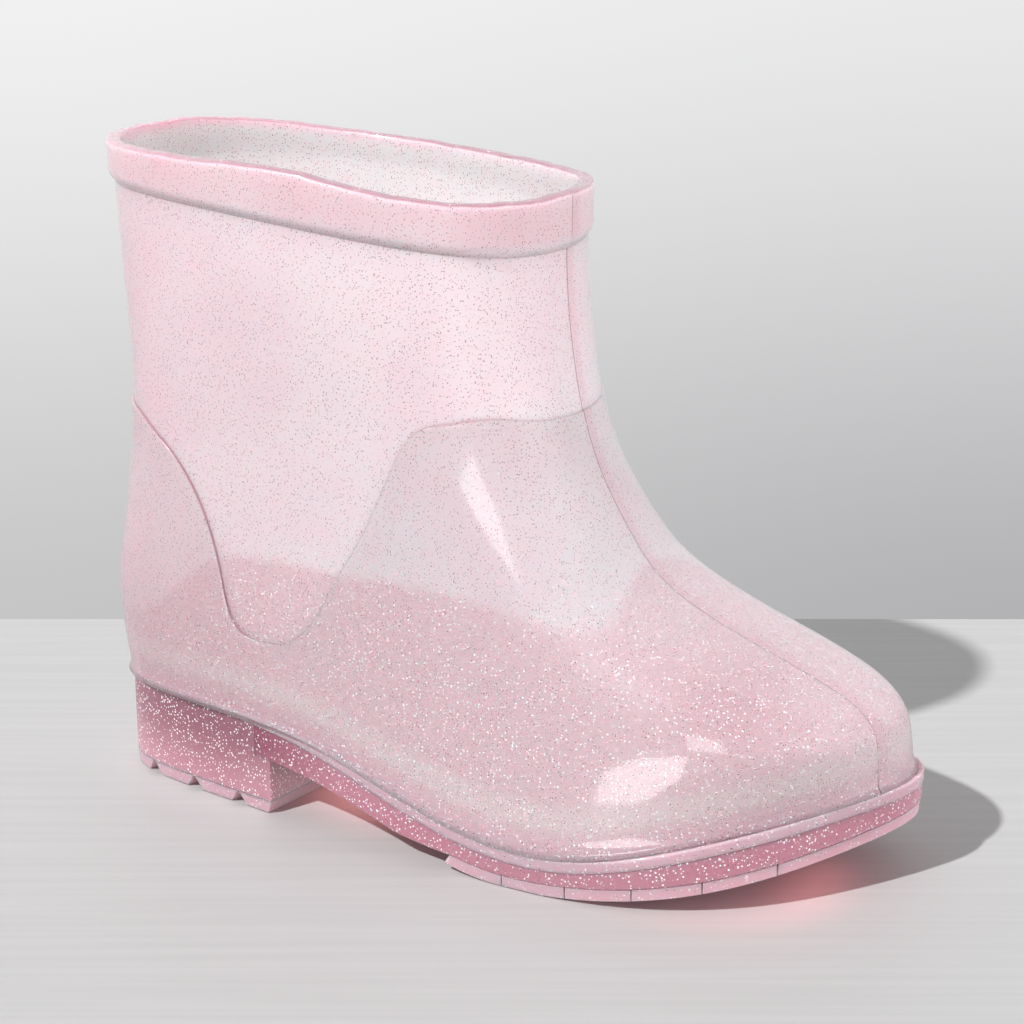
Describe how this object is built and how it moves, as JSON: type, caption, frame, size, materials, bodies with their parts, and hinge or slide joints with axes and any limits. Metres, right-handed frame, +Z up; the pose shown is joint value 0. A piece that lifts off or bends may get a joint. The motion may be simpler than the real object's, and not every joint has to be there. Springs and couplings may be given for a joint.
{
  "type": "child's pull-on rain boot",
  "caption": "Short pull-on rain boot for a child's right foot: clear glitter PVC leg with a raised collar, heel and vamp panels, arched sole and lugged heel block.",
  "frame": {"origin": "on the ground, under the middle of the boot's bounding box", "axes": "+Z up the leg, toe towards -Y, inner side of the foot towards +X"},
  "size_m": [0.0725, 0.1775, 0.1398],
  "materials": {
    "clear_upper": "milky see-through pink PVC with glitter, glossy",
    "collar": "thicker pink PVC with glitter, glossy",
    "panels": "raised pink PVC panel with glitter, glossy",
    "footbed": "pale pink PVC, satin",
    "sole": "dusty pink PVC with dense glitter, satin",
    "tread": "lighter dusty pink PVC, satin"
  },
  "bodies": {
    "root": {"upper_shell": "clear_upper", "collar_band": "collar", "heel_counter": "panels", "vamp_cover": "panels", "footbed": "footbed", "welt": "sole", "outsole": "sole", "heel_block": "sole", "forefoot_tread": "tread"}
  },
  "joints": []
}
